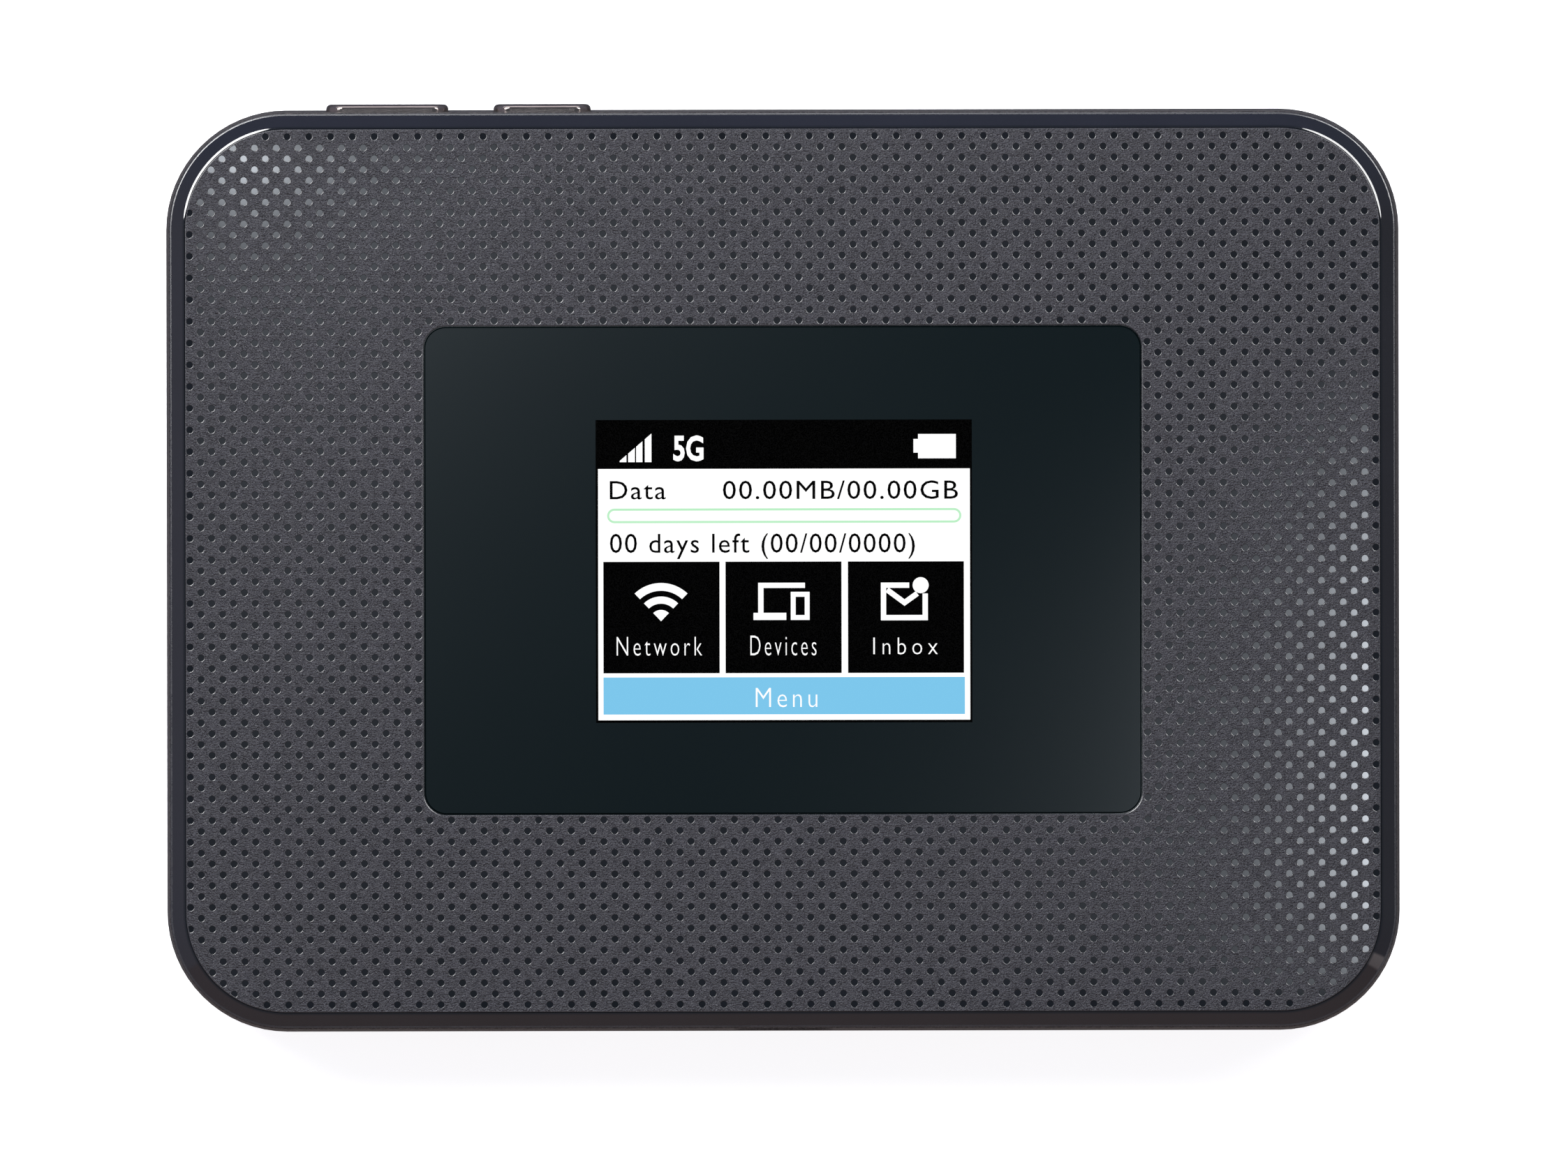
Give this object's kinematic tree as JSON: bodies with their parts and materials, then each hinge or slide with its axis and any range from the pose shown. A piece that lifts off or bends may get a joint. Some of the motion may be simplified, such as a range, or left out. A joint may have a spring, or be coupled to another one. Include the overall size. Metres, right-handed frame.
{
  "type": "mobile hotspot",
  "caption": "Pocket wireless router: a rounded slab with a glass-fronted display, edge buttons, a charging socket and a snap-off back over a battery.",
  "frame": {"origin": "under the middle of the case, on the surface that its feet stand on", "axes": "+X along the width towards the display's right, +Y up the display towards the edge with the buttons, +Z out of the display; it lies on its back"},
  "size_m": [0.115, 0.0865, 0.018],
  "materials": {
    "gloss_black": "polished bevel round a leather-grained field",
    "lens_glass": "black-backed cover glass",
    "display": "lit colour display",
    "frame_paint": "satin metallic brown-grey paint",
    "button_metal": "satin anodised brown-grey",
    "rear_plastic": "fine moulded grain",
    "rubber_black": "matt",
    "foam_black": "closed-cell foam strip",
    "adhesive": "black double-sided film",
    "bezel_metal": "pressed sheet",
    "spring_steel": "pressed and plated",
    "screw_steel": "blackened",
    "board_green": "solder mask over laminate",
    "chip_black": "moulded epoxy",
    "contact_gold": "gold-plated",
    "connector_black": "glass-filled nylon",
    "flex_amber": "polyimide film",
    "antenna_copper": "copper film",
    "spreader_metal": "plain sheet",
    "pad_grey": "soft silicone",
    "card_white": "blank card",
    "battery_wrap": "cell can in a dark wrap"
  },
  "bodies": {
    "case": {"front_cover": "gloss_black", "display_lens": "lens_glass", "lens_adhesive": "adhesive", "display_gasket": "rubber_black", "lcd_panel": "display", "lcd_backlight": "bezel_metal", "display_cushion": "foam_black", "display_flex": "flex_amber", "display_connector": "connector_black", "mid_frame": "frame_paint", "power_switch": "spring_steel", "menu_switch": "spring_steel", "main_board": "board_green", "modem_shield": "bezel_metal", "processor_shield": "bezel_metal", "power_shield": "bezel_metal", "board_chips": "chip_black", "heat_spreader": "spreader_metal", "thermal_pad": "pad_grey", "usb_shell": "spring_steel", "usb_tongue": "connector_black", "sim_socket": "bezel_metal", "sim_card": "card_white", "battery_connector": "connector_black", "battery_springs": "contact_gold", "antenna_left": "antenna_copper", "antenna_right": "antenna_copper", "antenna_top": "antenna_copper", "antenna_bottom": "antenna_copper", "antenna_clips": "contact_gold", "case_screws": "screw_steel", "board_screws": "screw_steel"},
    "power_key": {"power_button": "button_metal", "power_plunger": "connector_black"},
    "menu_key": {"menu_button": "button_metal", "menu_plunger": "connector_black"},
    "back": {"rear_cover": "rear_plastic", "rubber_feet": "rubber_black"},
    "battery": {"battery_pack": "battery_wrap", "battery_terminals": "contact_gold"}
  },
  "joints": [
    {"name": "power_press", "type": "slide", "parent": "case", "child": "power_key", "axis": [0, -1, 0], "range_m": [0, 0.00025], "stiffness_N_per_m": 3000, "springref_m": -0.0001},
    {"name": "menu_press", "type": "slide", "parent": "case", "child": "menu_key", "axis": [0, -1, 0], "range_m": [0, 0.00025], "stiffness_N_per_m": 3000, "springref_m": -0.0001},
    {"name": "back_release", "type": "slide", "parent": "case", "child": "back", "axis": [0, 0, -1], "range_m": [0, 0.04]},
    {"name": "battery_release", "type": "slide", "parent": "case", "child": "battery", "axis": [0, 0, -1], "range_m": [0, 0.02]}
  ],
  "couplings": [
    {"joint": "battery_release", "follows": "back_release", "ratio": 0.5}
  ]
}
